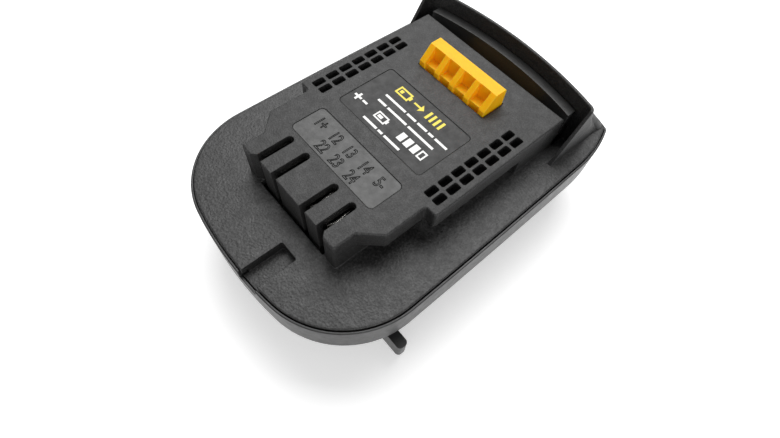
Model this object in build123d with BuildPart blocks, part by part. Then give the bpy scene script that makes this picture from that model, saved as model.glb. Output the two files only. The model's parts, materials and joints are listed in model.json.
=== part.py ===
from build123d import *

import os
from math import asin, cos, degrees, pi, radians, sin, sqrt, tan

# A slide-on adapter that lets a cordless tool take a battery of another make.
# Its top is shaped like the tool's own battery: a contact tower, two rail grooves,
# a sprung catch and a hood at the back. Its underside is a socket with two rails
# and a row of blades for the battery. Units are millimetres.
# X runs across, Y from the rounded front to the hood, Z up. The origin is the
# middle of the rest face under the side walls.

os.makedirs("parts", exist_ok=True)

# Outline of the body, seen from above
half_width = 38.5
front_bow_radius = 110.0
front_corner_radius = 25.9
side_lead = 6.4
side_radius = 3000.0
side_bow_radius = 45.0
side_bow_run = 16.4
rear_corner_radius = 2.0
rear_bow_radius = 100.0

# Heights of the body
foot_height = 15.0
tray_height = 10.4
rim_drop = 0.6
rim_wall = 0.6
rim_gap = 0.35
rim_edge_radius = 0.25
seam_gap = 0.6
plate_thickness = 2.0
plate_edge_radius = 0.35

# Contact tower and deck, with Y measured from the tower's front face
tower_setback = 18.6
deck_height = 11.0
deck_length = 72.0
tower_half = 18.8
middle_half = 23.7
deck_half = 27.2
flare_start = 6.5
flare_end = 11.7
shoulder_y = 23.9
groove_height = 5.5
groove_margin = 16.0
deck_corner_radius = 0.8
deck_edge_radius = 0.5
skin = 2.5
wall = 2.0

# Contact slots in the tower
slot_width = 2.35
slot_length = 11.4
inner_slot_x = 5.85
outer_slot_x = 12.6
finger_setback = 0.8
slot_chamfer = 1.4
clip_pocket_width = 4.4
clip_pocket_start = 2.5
carrier_start = 12.8
carrier_depth = 5.0

# Vent grilles
vent_rows = 7
vent_pitch = 4.6
vent_first_y = 28.0
vent_length = 3.7
vent_width = 2.15
vent_inner_x = 21.3
vent_outer_x = 24.2
vent_corner_radius = 0.5

# Two plates let into the deck
marking_half = 16.2
marking_start = 13.0
marking_end = 23.5
marking_thickness = 0.9
marking_recess = 1.0
marking_radius = 1.4
label_half = 16.1
label_start = 28.4
label_margin = 24.7
label_thickness = 0.3
label_recess = 0.4
label_radius = 1.2
inlay_gap = 0.1

# Notch in the plate's front edge
notch_start_x = 4.6
notch_end_x = 10.8
notch_depth_y = 5.6
notch_depth_z = 3.3
notch_wall = 1.5
notch_radius = 0.6

# Hood behind the deck, with Y measured from the deck's back face
hood_height = 15.5
hood_inner_half = 31.0
hood_base_wall = 1.2
hood_top_wall = 0.8
hood_base_back = 23.9
hood_base_radius = 100.0
hood_lip = 0.8
hood_flare = 1.4
hood_flare_run = 2.6
hood_top_run = 6.0
hood_corner_radius = 2.0
hood_top_corner_radius = 2.2
hood_inner_radius = 1.4
hood_arm_lead = 6.0
hood_arm_rise = 3.5
hood_edge_share = 0.4

# Catch and its carrier, with Y measured forward from the deck's back face
catch_half = 12.6
catch_front_lead = 17.1
catch_band_lead = 13.4
catch_back_lead = 9.4
catch_rise = 5.4
catch_foot_rise = 1.3
catch_floor_rise = 0.9
catch_floor_setback = 0.9
catch_end_wall = 1.9
catch_rib = 1.7
catch_pockets = 4
catch_edge_radius = 0.35
window_gap = 0.3
travel = 4.5
stop_gap = 0.1
carrier_half = 16.3
carrier_front_lead = 18.5
carrier_back_lead = 2.6
carrier_thickness = 2.5
ear_half = 23.0
ear_front_lead = 13.4
ear_back_lead = 7.4
tongue_half = 13.6
web_front_lead = 2.5
web_back_lead = 0.3
tongue_thickness = 2.3
tongue_gap = 0.4

# Release button behind the deck
button_side_room = 4.0
button_gap = 0.35
button_strip = 2.9
button_arc_radius = 118.0
button_length = 8.0
button_floor = 1.6
button_height = 9.0

# Latch springs
spring_x = 19.4
spring_lead = 10.4
spring_wire = 0.6
spring_radius = 2.5
spring_turns = 7
spring_pin_radius = 1.8
spring_pin_clear = 0.8
seat_pin_length = 1.2

# Lower shell
tray_wall = 2.4
tray_floor = 2.0
tray_edge_radius = 0.9
lip_gap = 0.2
lip_wall = 1.5
lip_depth = 2.5
socket_half = 27.0
socket_wall = 4.0
socket_start = 2.9
socket_reach = 8.0
socket_back_wall = 6.0
socket_corner_radius = 5.0
rail_depth = 3.0
rail_height = 3.0
rail_start = 8.0
lug_half = 41.3
lug_length = 3.2
lug_bottom = 2.0
lug_top = 9.0
lug_radius = 1.2

# Screws that hold the two shells together
screw_front_x = 22.0
screw_front_y = -4.0
screw_rear_x = 21.5
screw_rear_lead = 3.4
screw_radius = 1.45
screw_head_radius = 2.8
screw_head_height = 2.0
screw_head_clear = 0.2
screw_clear = 0.25
screw_fit = 0.03
screw_grip = 4.0
boss_radius = 3.2
lower_boss_rise = 4.0
drive_radius = 1.3
drive_depth = 1.1

# Small screws of the board, the blade block and the button
small_radius = 0.95
small_head_radius = 1.6
small_head_height = 1.2
small_clear = 0.15
small_fit = 0.03
board_screw_length = 5.0
block_screw_length = 7.0
button_screw_length = 5.6
button_screw_x = 8.0

# Circuit board
board_half = 9.0
board_start = 20.0
board_end_lead = 2.9
board_thickness = 1.6
board_rise = 4.4
post_radius = 2.4
board_screw_front_share = 0.14
board_screw_rear_share = 0.77

# Tool-side contact clips
clip_bottom = 1.0
clip_top = 7.6
clip_sheet = 0.4
clip_half = 1.5
clip_throat = 0.35
clip_mouth = 1.0
clip_tip_y = 3.6
clip_throat_y = 6.0
clip_web_y = 17.0
clip_fit = 0.05
tail_width = 1.6
tail_height = 1.2
tail_end = 22.4
leg_length = 0.8
hole_gap = 0.1

# Battery-side blades and the block that holds them
blade_sheet = 0.8
blade_power_x = 12.0
blade_signal_x = 4.0
blade_tip_lead = 25.0
blade_back_lead = 4.0
blade_tail = 3.0
blade_low = 5.5
blade_high = 12.5
blade_nose = 1.2
block_half = 17.0
block_start_lead = 10.0
block_reach = 2.0
block_low = 4.0
block_radius = 1.0
blade_fit = 0.05
solder_rise = 0.6
block_screw_x = 8.0
block_screw_lead = 0.4

# Power wires
wire_radius = 1.2
wire_arc_share = 0.45
wire_run_shares = (0.17, 0.37, 0.58, 0.81)
wire_run_x = (12.6, 13.9, 13.2, 12.0)
wire_drop = (0.0, 3.4, 8.2)

# Parts on the board
chip_share = 0.33
chip_length = 5.0
chip_width = 4.0
chip_height = 1.5
chip_pins = 4
chip_pin = 0.4
chip_pin_reach = 1.1
chip_pitch = 1.27
can_x = 4.0
can_share = 0.56
can_radius = 3.15
can_height = 7.4
can_base = 6.6
can_base_height = 0.8
can_groove = 0.25
fet_x = -4.2
fet_share = 0.56
fet_width = 6.4
fet_length = 6.2
fet_height = 2.3
fet_tab = 1.2
fet_tab_height = 0.6
resistor_x = 6.0
resistor_share = 0.25
resistor_length = 3.2
resistor_width = 1.6
resistor_height = 0.6
resistor_pitch = 3.0
resistor_count = 3
resistor_cap = 0.4

overrun = 3.0

# Places that follow the deck's back face or the hood, with Y measured from the tower's front face
straight_side = deck_length - side_lead
groove_end = deck_length - groove_margin
label_end = deck_length - label_margin
catch_front = deck_length - catch_front_lead
catch_band_front = deck_length - catch_band_lead
catch_back = deck_length - catch_back_lead
carrier_front = deck_length - carrier_front_lead
carrier_back = deck_length - carrier_back_lead
ear_front = deck_length - ear_front_lead
ear_back = deck_length - ear_back_lead
web_front = deck_length - web_front_lead
web_back = deck_length - web_back_lead
button_back = deck_length + button_length
spring_y = deck_length - spring_lead
socket_end = deck_length + socket_reach
screw_rear_y = deck_length - screw_rear_lead
board_end = deck_length - board_end_lead
blade_tip = deck_length - blade_tip_lead
blade_back = deck_length - blade_back_lead
block_start = deck_length - block_start_lead
block_end = deck_length + block_reach
block_screw_y = deck_length - block_screw_lead
button_half = hood_inner_half - button_side_room

# Places along the board
board_length = board_end - board_start
board_screw_front = board_start + board_length * board_screw_front_share
board_screw_rear = board_start + board_length * board_screw_rear_share
chip_y = board_start + board_length * chip_share
can_y = board_start + board_length * can_share
fet_y = board_start + board_length * fet_share
resistor_y = board_start + board_length * resistor_share

# The outline's arcs meet tangent to each other, which fixes their angles
front_bow_angle = asin((half_width - front_corner_radius) / (front_bow_radius - front_corner_radius))
side_angle = asin(straight_side / side_radius)
side_bow_angle = asin(side_bow_run / side_bow_radius + sin(side_angle))
side_draw = side_radius * (1 - cos(side_angle))
side_draw += side_bow_radius * (cos(side_angle) - cos(side_bow_angle))
rear_centre_x = half_width - side_draw - rear_corner_radius * cos(side_bow_angle)
rear_bow_angle = asin(rear_centre_x / (rear_bow_radius - rear_corner_radius))
front_run = front_bow_radius * (1 - cos(front_bow_angle)) + front_corner_radius * cos(front_bow_angle)
rear_run = (
    rear_corner_radius * (cos(rear_bow_angle) - sin(side_bow_angle))
    + rear_bow_radius * (1 - cos(rear_bow_angle))
)
body_length = front_run + straight_side + side_bow_run + rear_run
front_y = -body_length / 2
tower_y = front_y + tower_setback

# Levels, counted up from the rest face
tray_floor_top = foot_height + tray_floor
plate_top = foot_height + tray_height + rim_drop
plate_bottom = plate_top - plate_thickness
notch_floor = plate_top - notch_depth_z
groove_top = plate_top + groove_height
deck_top = plate_top + deck_height
deck_under = deck_top - skin
board_bottom = tray_floor_top + board_rise
board_top = board_bottom + board_thickness

with BuildSketch() as hull:
    with BuildLine():
        bow = JernArc((0, front_y), (1, 0), front_bow_radius, degrees(front_bow_angle))
        corner = JernArc(bow @ 1, bow % 1, front_corner_radius, 90 - degrees(front_bow_angle))
        side = JernArc(corner @ 1, (0, 1), side_radius, degrees(side_angle))
        taper = JernArc(side @ 1, side % 1, side_bow_radius, degrees(side_bow_angle - side_angle))
        rear_turn = 90 - degrees(side_bow_angle + rear_bow_angle)
        rear_corner = JernArc(taper @ 1, taper % 1, rear_corner_radius, rear_turn)
        rear = JernArc(rear_corner @ 1, rear_corner % 1, rear_bow_radius, degrees(rear_bow_angle))
        Line(rear @ 1, (0, front_y))
    make_face()
    mirror(about=Plane.YZ)


def arc_y(x, back_y, radius):
    """Y of a shallow arc across the part, bowed to the rear, at a distance x from its middle."""
    return back_y - radius + sqrt(radius**2 - x**2)


def hood_outline(level, half, flare, run, back_y, radius, corner_size):
    """Closed outline of the hood at one level: sides that flare to the rear corners, bowed back."""
    with BuildSketch(Plane.XY.offset(level)) as outline:
        with BuildLine():
            start_y = tower_y + groove_end
            end_y = arc_y(half + flare, back_y, radius)
            Line((-half, start_y), (half, start_y))
            Line((half, start_y), (half, end_y - run))
            Line((half, end_y - run), (half + flare, end_y))
            ThreePointArc((half + flare, end_y), (0, back_y), (-half - flare, end_y))
            Line((-half - flare, end_y), (-half, end_y - run))
            Line((-half, end_y - run), (-half, start_y))
        make_face()
        fillet(outline.vertices().group_by(Axis.Y)[-1], corner_size)
    return outline


# Hood: leans outward from its lip down to the plate, open at the front and above
button_back_y = tower_y + button_back
well_back_y = button_back_y + button_gap
well_arc_radius = button_arc_radius + button_gap
hood_top_level = plate_top + hood_height
hood_base_half = hood_inner_half + hood_base_wall
hood_base = hood_outline(
    plate_top,
    hood_base_half,
    hood_flare,
    hood_flare_run,
    tower_y + deck_length + hood_base_back,
    hood_base_radius,
    hood_corner_radius,
)
hood_top = hood_outline(
    hood_top_level,
    hood_inner_half + hood_top_wall,
    0,
    hood_top_run,
    well_back_y + hood_lip,
    well_arc_radius + hood_lip,
    hood_top_corner_radius,
)
with BuildPart() as hood:
    add(hood_base.sketch)
    add(hood_top.sketch)
    loft(ruled=True)
    with BuildSketch(Plane.XY.offset(plate_top)) as well:
        with BuildLine():
            well_front = tower_y + groove_end - overrun
            well_corner = arc_y(hood_inner_half, well_back_y, well_arc_radius)
            Line((-hood_inner_half, well_front), (hood_inner_half, well_front))
            Line((hood_inner_half, well_front), (hood_inner_half, well_corner))
            ThreePointArc(
                (hood_inner_half, well_corner), (0, well_back_y), (-hood_inner_half, well_corner)
            )
            Line((-hood_inner_half, well_corner), (-hood_inner_half, well_front))
        make_face()
        fillet(well.vertices().group_by(Axis.Y)[-1], hood_inner_radius)
    extrude(amount=hood_height + overrun, mode=Mode.SUBTRACT)
    with BuildSketch(Plane.YZ) as arm_cut:
        with BuildLine():
            lean = (hood_arm_lead + hood_arm_rise) / hood_height
            low = plate_top - overrun
            high = hood_top_level + overrun
            arm_low_y = tower_y + deck_length - hood_arm_lead - overrun * lean
            arm_high_y = tower_y + deck_length + hood_arm_rise + overrun * lean
            Polyline(
                (tower_y + groove_end - overrun, low),
                (arm_low_y, low),
                (arm_high_y, high),
                (tower_y + groove_end - overrun, high),
                close=True,
            )
        make_face()
    extrude(amount=hood_base_half + overrun, both=True, mode=Mode.SUBTRACT)
    fillet(hood.edges().group_by(Axis.Z)[-1], hood_top_wall * hood_edge_share)

# Shell screws, in one table of places for the bosses, holes and screws
screw_places = [
    (side_sign * place_x, tower_y + place_y)
    for place_x, place_y in ((screw_front_x, screw_front_y), (screw_rear_x, screw_rear_y))
    for side_sign in (-1, 1)
]
screw_seat = foot_height + screw_head_height + screw_head_clear
lower_boss_top = tray_floor_top + lower_boss_rise
screw_tip = lower_boss_top + screw_grip

with BuildPart() as upper_shell:
    # Plate with its rounded edge
    with BuildSketch(Plane.XY.offset(plate_bottom)):
        add(hull.sketch)
        offset(amount=-(rim_wall + rim_gap), mode=Mode.REPLACE)
    extrude(amount=plate_thickness)
    fillet(upper_shell.edges().group_by(Axis.Z)[-1], plate_edge_radius)
    # Lip that locates the plate inside the tray
    with BuildSketch(Plane.XY.offset(plate_bottom)):
        add(hull.sketch)
        offset(amount=-(tray_wall + lip_gap), mode=Mode.REPLACE)
        with BuildSketch(mode=Mode.PRIVATE) as lip_inside:
            add(hull.sketch)
            offset(amount=-(tray_wall + lip_gap + lip_wall), mode=Mode.REPLACE)
        add(lip_inside.sketch, mode=Mode.SUBTRACT)
    extrude(amount=-lip_depth)
    # Deck and contact tower: a narrow core, with a flange over the rail grooves
    with BuildSketch(Plane.XY.offset(groove_top)) as deck_plan:
        with BuildLine():
            Polyline(
                (0, tower_y),
                (tower_half, tower_y),
                (tower_half, tower_y + flare_start),
                (middle_half, tower_y + flare_end),
                (middle_half, tower_y + shoulder_y),
                (deck_half, tower_y + shoulder_y),
                (deck_half, tower_y + deck_length),
                (0, tower_y + deck_length),
                close=True,
            )
        make_face()
        mirror(about=Plane.YZ)
        front_corners = deck_plan.vertices().filter_by_position(
            Axis.Y, tower_y - wall, tower_y + groove_end
        )
        fillet(front_corners, deck_corner_radius)
    extrude(amount=deck_height - groove_height)
    fillet(upper_shell.edges().group_by(Axis.Z)[-1], deck_edge_radius)
    with BuildSketch(Plane.XY.offset(plate_top)) as core_plan:
        with Locations((0, tower_y)):
            Rectangle(2 * tower_half, groove_end, align=(Align.CENTER, Align.MIN))
        fillet(core_plan.vertices().group_by(Axis.Y)[0], deck_corner_radius)
        with Locations((0, tower_y + groove_end)):
            Rectangle(2 * deck_half, deck_length - groove_end, align=(Align.CENTER, Align.MIN))
    extrude(amount=groove_height)
    add(hood.part)
    # Pocket under the front notch, its floor below the plate
    with BuildSketch(Plane.XY.offset(plate_bottom)) as notch_box:
        add(hull.sketch)
        offset(amount=-(tray_wall + lip_gap), mode=Mode.REPLACE)
        with Locations(((notch_start_x + notch_end_x) / 2, tower_y - notch_depth_y + notch_wall)):
            Rectangle(
                notch_end_x - notch_start_x + 2 * notch_wall,
                tower_setback,
                align=(Align.CENTER, Align.MAX),
                mode=Mode.INTERSECT,
            )
    extrude(amount=-(notch_depth_z + notch_wall - plate_thickness))
    with BuildSketch(Plane.XY.offset(notch_floor)) as notch_cut:
        with Locations(((notch_start_x + notch_end_x) / 2, tower_y - notch_depth_y)):
            Rectangle(
                notch_end_x - notch_start_x, tower_setback, align=(Align.CENTER, Align.MAX)
            )
        fillet(notch_cut.vertices().group_by(Axis.Y)[-1], notch_radius)
    extrude(amount=notch_depth_z + overrun, mode=Mode.SUBTRACT)
    # The notch's floor runs out to the tray's rim
    with BuildSketch(Plane.XY.offset(notch_floor)):
        add(hull.sketch)
        offset(amount=-(rim_wall + rim_gap), mode=Mode.REPLACE)
        with Locations(((notch_start_x + notch_end_x) / 2, tower_y - notch_depth_y)):
            Rectangle(
                notch_end_x - notch_start_x,
                tower_setback,
                align=(Align.CENTER, Align.MAX),
                mode=Mode.INTERSECT,
            )
    extrude(amount=-notch_wall)
    # Middle fingers stand a little behind the end blocks, over a trench in the plate
    finger_half = outer_slot_x + slot_width / 2
    with BuildSketch(Plane.XY.offset(plate_bottom)):
        with Locations((0, tower_y)):
            Rectangle(2 * finger_half, finger_setback, align=(Align.CENTER, Align.MIN))
    extrude(amount=deck_height + plate_thickness + overrun, mode=Mode.SUBTRACT)
    with BuildSketch(Plane.XY.offset(plate_top)):
        for side_sign in (-1, 1):
            with BuildLine():
                Polyline(
                    (side_sign * finger_half, tower_y - slot_chamfer),
                    (side_sign * (finger_half + slot_chamfer), tower_y),
                    (side_sign * finger_half, tower_y + slot_chamfer),
                    close=True,
                )
            make_face()
    extrude(amount=deck_height + overrun, mode=Mode.SUBTRACT)
    # Slots for the tool's blades, open at the front
    slot_places = [-outer_slot_x, -inner_slot_x, inner_slot_x, outer_slot_x]
    with BuildSketch(Plane.XY.offset(plate_bottom)):
        for slot_x in slot_places:
            with Locations((slot_x, tower_y)):
                Rectangle(slot_width, slot_length - slot_width / 2, align=(Align.CENTER, Align.MIN))
            with Locations((slot_x, tower_y + slot_length - slot_width / 2)):
                Circle(slot_width / 2)
    extrude(amount=deck_height + plate_thickness + overrun, mode=Mode.SUBTRACT)
    # Hollows under the deck: one per clip, the core, and the wider room at the back
    with BuildSketch(Plane.XY.offset(plate_bottom)):
        for slot_x in slot_places:
            with Locations((slot_x, tower_y + clip_pocket_start)):
                Rectangle(
                    clip_pocket_width,
                    carrier_start - clip_pocket_start,
                    align=(Align.CENTER, Align.MIN),
                )
        with Locations((0, tower_y + carrier_start - inlay_gap)):
            Rectangle(
                2 * (tower_half - wall),
                deck_length - wall - carrier_start + inlay_gap,
                align=(Align.CENTER, Align.MIN),
            )
        with Locations((0, tower_y + groove_end + wall)):
            Rectangle(
                2 * (deck_half - wall),
                deck_length - groove_end - 2 * wall,
                align=(Align.CENTER, Align.MIN),
            )
        # Way out to the button through the deck's back wall
        with Locations((0, tower_y + deck_length - wall)):
            Rectangle(
                2 * (tongue_half + tongue_gap),
                wall + button_gap,
                align=(Align.CENTER, Align.MIN),
            )
    extrude(amount=deck_under - plate_bottom, mode=Mode.SUBTRACT)
    # Well in the plate for the button
    with BuildSketch(Plane.XY.offset(plate_bottom)):
        with BuildLine():
            well_side = button_half + button_gap
            well_side_y = arc_y(well_side, well_back_y, well_arc_radius)
            Line((-well_side, tower_y + deck_length), (well_side, tower_y + deck_length))
            Line((well_side, tower_y + deck_length), (well_side, well_side_y))
            ThreePointArc((well_side, well_side_y), (0, well_back_y), (-well_side, well_side_y))
            Line((-well_side, well_side_y), (-well_side, tower_y + deck_length))
        make_face()
    extrude(amount=plate_thickness, mode=Mode.SUBTRACT)
    # Window for the catch
    with BuildSketch(Plane.XY.offset(deck_under)):
        with Locations((0, tower_y + catch_front - window_gap)):
            Rectangle(
                2 * (catch_half + window_gap),
                catch_back - catch_front + 2 * window_gap,
                align=(Align.CENTER, Align.MIN),
            )
    extrude(amount=skin + overrun, mode=Mode.SUBTRACT)
    # Vent grilles, cut through the flange into the rail grooves
    with BuildSketch(Plane.XY.offset(groove_top)):
        for side_sign in (-1, 1):
            for vent_x in (vent_inner_x, vent_outer_x):
                for row in range(vent_rows):
                    with Locations((side_sign * vent_x, tower_y + vent_first_y + row * vent_pitch)):
                        RectangleRounded(vent_width, vent_length, vent_corner_radius)
    extrude(amount=deck_height - groove_height + overrun, mode=Mode.SUBTRACT)
    # Recesses for the marking plate and the label
    for half, start, end, depth, radius in (
        (marking_half, marking_start, marking_end, marking_recess, marking_radius),
        (label_half, label_start, label_end, label_recess, label_radius),
    ):
        with BuildSketch(Plane.XY.offset(deck_top - depth)):
            with Locations((0, tower_y + (start + end) / 2)):
                RectangleRounded(
                    2 * (half + inlay_gap), end - start + 2 * inlay_gap, radius + inlay_gap
                )
        extrude(amount=depth + overrun, mode=Mode.SUBTRACT)
    # Screw bosses, the rear pair standing up to the deck
    for places, boss_top in ((screw_places[:2], plate_bottom), (screw_places[2:], deck_under)):
        with BuildSketch(Plane.XY.offset(lower_boss_top)):
            with Locations(*places):
                Circle(boss_radius)
        extrude(amount=boss_top - lower_boss_top)
    with BuildSketch(Plane.XY.offset(lower_boss_top)):
        with Locations(*screw_places):
            Circle(screw_radius + screw_fit)
    extrude(amount=screw_grip + screw_fit, mode=Mode.SUBTRACT)

upper_shell.part.label = "upper_shell"
export_step(upper_shell.part, "parts/upper_shell.step")

# Places on the lower shell's floor
post_places = [(0, tower_y + board_screw_front), (0, tower_y + board_screw_rear)]
spring_places = [(-spring_x, tower_y + spring_y), (spring_x, tower_y + spring_y)]
blade_places = [-blade_power_x, -blade_signal_x, blade_signal_x, blade_power_x]
block_screw_places = [
    (-block_screw_x, tower_y + block_screw_y),
    (block_screw_x, tower_y + block_screw_y),
]
carrier_top = deck_under - stop_gap
carrier_bottom = carrier_top - carrier_thickness
spring_pin_top = carrier_bottom - seat_pin_length - travel - spring_pin_clear

with BuildPart() as lower_shell:
    # Tray under and round the plate, with rounded edges
    with BuildSketch(Plane.XY.offset(foot_height)):
        add(hull.sketch)
    extrude(amount=tray_height)
    fillet(lower_shell.edges().group_by(Axis.Z)[0], tray_edge_radius)
    fillet(lower_shell.edges().group_by(Axis.Z)[-1], rim_edge_radius)
    with BuildSketch(Plane.XY.offset(tray_floor_top)):
        add(hull.sketch)
        offset(amount=-tray_wall, mode=Mode.REPLACE)
    extrude(amount=tray_height, mode=Mode.SUBTRACT)
    # Thin rim round the plate's edge, as low as the floor of the front notch there
    with BuildSketch(Plane.XY.offset(plate_bottom - seam_gap)):
        add(hull.sketch)
        offset(amount=-rim_wall, mode=Mode.REPLACE)
    extrude(amount=plate_thickness + seam_gap, mode=Mode.SUBTRACT)
    notch_room = notch_end_x - notch_start_x + 2 * rim_gap
    with BuildSketch(Plane.XY.offset(notch_floor)):
        with Locations(((notch_start_x + notch_end_x) / 2, front_y)):
            Rectangle(notch_room, 4 * tray_wall)
    extrude(amount=notch_depth_z, mode=Mode.SUBTRACT)
    with BuildSketch(Plane.XY.offset(notch_floor - notch_wall - seam_gap)):
        add(hull.sketch)
        offset(amount=-rim_wall, mode=Mode.REPLACE)
        with Locations(((notch_start_x + notch_end_x) / 2, front_y)):
            Rectangle(notch_room, 4 * tray_wall, mode=Mode.INTERSECT)
    extrude(amount=notch_depth_z, mode=Mode.SUBTRACT)
    # Side walls of the battery socket, closed at the back
    with BuildSketch(Plane.XY.offset(0)) as socket_plan:
        socket_half_out = socket_half + socket_wall
        with Locations((0, tower_y + socket_start)):
            Rectangle(
                2 * socket_half_out,
                socket_end + socket_back_wall - socket_start,
                align=(Align.CENTER, Align.MIN),
            )
        fillet(socket_plan.vertices().group_by(Axis.Y)[-1], socket_corner_radius)
        with Locations((0, tower_y + socket_start)):
            Rectangle(
                2 * socket_half,
                socket_end - socket_start,
                align=(Align.CENTER, Align.MIN),
                mode=Mode.SUBTRACT,
            )
    extrude(amount=foot_height)
    # Rails that the battery slides along
    with BuildSketch(Plane.XY.offset(0)):
        for side_sign in (-1, 1):
            with Locations((side_sign * (socket_half - rail_depth / 2), tower_y + rail_start)):
                Rectangle(rail_depth, socket_end - rail_start, align=(Align.CENTER, Align.MIN))
    extrude(amount=rail_height)
    # Lugs that stand behind the battery's release buttons
    with BuildSketch(Plane.XY.offset(lug_bottom)) as lug_plan:
        for side_sign in (-1, 1):
            with Locations(
                (side_sign * (socket_half_out + lug_half) / 2, tower_y + socket_start + lug_length / 2)
            ):
                Rectangle(lug_half - socket_half_out, lug_length)
        fillet(lug_plan.vertices().group_by(Axis.X)[0], lug_radius)
        fillet(lug_plan.vertices().group_by(Axis.X)[-1], lug_radius)
    extrude(amount=lug_top - lug_bottom)
    # Bosses, posts and spring pins on the tray's floor
    with BuildSketch(Plane.XY.offset(tray_floor_top)):
        with Locations(*screw_places):
            Circle(boss_radius)
    extrude(amount=lower_boss_rise)
    with BuildSketch(Plane.XY.offset(tray_floor_top)):
        with Locations(*post_places):
            Circle(post_radius)
    extrude(amount=board_rise)
    with BuildSketch(Plane.XY.offset(tray_floor_top)):
        with Locations(*spring_places):
            Circle(spring_pin_radius)
    extrude(amount=spring_pin_top - tray_floor_top)
    # Screw holes with sunk heads, board screw holes, and the block's screw holes
    with BuildSketch(Plane.XY.offset(foot_height)):
        with Locations(*screw_places):
            Circle(screw_head_radius + screw_clear)
    extrude(amount=screw_head_height + screw_head_clear, mode=Mode.SUBTRACT)
    with BuildSketch(Plane.XY.offset(screw_seat)):
        with Locations(*screw_places):
            Circle(screw_radius + screw_clear)
    extrude(amount=tray_height, mode=Mode.SUBTRACT)
    with BuildSketch(Plane.XY.offset(board_bottom)):
        with Locations(*post_places):
            Circle(small_radius + small_fit)
    extrude(amount=-(board_screw_length - board_thickness + small_fit), mode=Mode.SUBTRACT)
    with BuildSketch(Plane.XY.offset(tray_floor_top)):
        with Locations(*block_screw_places):
            Circle(small_radius + small_clear)
    extrude(amount=-tray_floor - small_clear, mode=Mode.SUBTRACT)
    # Slots for the blades' tails
    with BuildSketch(Plane.XY.offset(foot_height)):
        for blade_x in blade_places:
            with Locations((blade_x, tower_y + blade_back - blade_tail / 2)):
                Rectangle(blade_sheet + 2 * hole_gap, blade_tail + 2 * hole_gap)
    extrude(amount=tray_floor, mode=Mode.SUBTRACT)

lower_shell.part.label = "lower_shell"
export_step(lower_shell.part, "parts/lower_shell.step")

# Catch: ramp at the front with open pockets, upright face at the back, on a carrier
pocket_width = (2 * catch_half - 2 * catch_end_wall - (catch_pockets - 1) * catch_rib) / catch_pockets
catch_top = deck_top + catch_rise
tongue_top = deck_top - button_height
tongue_bottom = tongue_top - tongue_thickness
with BuildPart() as latch_catch:
    with BuildSketch(Plane.YZ):
        with BuildLine():
            Polyline(
                (tower_y + catch_front, carrier_bottom),
                (tower_y + catch_front, deck_top + catch_foot_rise),
                (tower_y + catch_band_front, catch_top),
                (tower_y + catch_back, catch_top),
                (tower_y + catch_back, carrier_bottom),
                close=True,
            )
        make_face()
    extrude(amount=catch_half, both=True)
    chamfer(
        latch_catch.edges().filter_by(Axis.X).group_by(Axis.Z)[-1].sort_by(Axis.Y)[-1],
        catch_edge_radius,
    )
    for pocket in range(catch_pockets):
        pocket_x = -catch_half + catch_end_wall + pocket_width / 2
        pocket_x += pocket * (pocket_width + catch_rib)
        with BuildSketch(Plane.XY.offset(deck_top + catch_floor_rise)):
            with Locations((pocket_x, tower_y + catch_front - overrun)):
                Rectangle(
                    pocket_width,
                    catch_band_front - catch_front + overrun,
                    align=(Align.CENTER, Align.MIN),
                )
        extrude(amount=catch_rise, mode=Mode.SUBTRACT)
        with BuildSketch(Plane.XY.offset(carrier_top)):
            with Locations((pocket_x, tower_y + catch_front)):
                Rectangle(pocket_width, 2 * catch_floor_setback)
        extrude(amount=catch_rise + skin, mode=Mode.SUBTRACT)
    # Carrier under the deck, with an ear over each spring
    with BuildSketch(Plane.XY.offset(carrier_bottom)):
        with Locations((0, tower_y + carrier_front)):
            Rectangle(
                2 * carrier_half, carrier_back - carrier_front, align=(Align.CENTER, Align.MIN)
            )
        with Locations((0, tower_y + ear_front)):
            Rectangle(2 * ear_half, ear_back - ear_front, align=(Align.CENTER, Align.MIN))
    extrude(amount=carrier_thickness)
    with BuildSketch(Plane.XY.offset(carrier_bottom)):
        with Locations(*spring_places):
            Circle(spring_pin_radius)
    extrude(amount=-seat_pin_length)
    # Web through the deck's back wall, down to the tongue that the button sits on
    with BuildSketch(Plane.XY.offset(carrier_bottom)):
        with Locations((0, tower_y + carrier_front)):
            Rectangle(2 * tongue_half, web_back - carrier_front, align=(Align.CENTER, Align.MIN))
    extrude(amount=carrier_thickness)
    with BuildSketch(Plane.XY.offset(tongue_bottom)):
        with Locations((0, tower_y + web_front)):
            Rectangle(2 * tongue_half, web_back - web_front, align=(Align.CENTER, Align.MIN))
    extrude(amount=carrier_top - tongue_bottom)
    with BuildSketch(Plane.XY.offset(tongue_bottom)):
        with BuildLine():
            tongue_front = tower_y + web_front
            tongue_side_y = arc_y(tongue_half, button_back_y, button_arc_radius)
            Line((-tongue_half, tongue_front), (tongue_half, tongue_front))
            Line((tongue_half, tongue_front), (tongue_half, tongue_side_y))
            ThreePointArc(
                (tongue_half, tongue_side_y), (0, button_back_y), (-tongue_half, tongue_side_y)
            )
            Line((-tongue_half, tongue_side_y), (-tongue_half, tongue_front))
        make_face()
    extrude(amount=tongue_thickness)
    button_screw_y = arc_y(button_screw_x, button_back_y, button_arc_radius) - small_head_radius
    button_screw_places = [(-button_screw_x, button_screw_y), (button_screw_x, button_screw_y)]
    with BuildSketch(Plane.XY.offset(tongue_bottom)):
        with Locations(*button_screw_places):
            Circle(small_radius + small_clear)
    extrude(amount=tongue_thickness, mode=Mode.SUBTRACT)

latch_catch.part.label = "latch_catch"
export_step(latch_catch.part, "parts/latch_catch.step")

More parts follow.
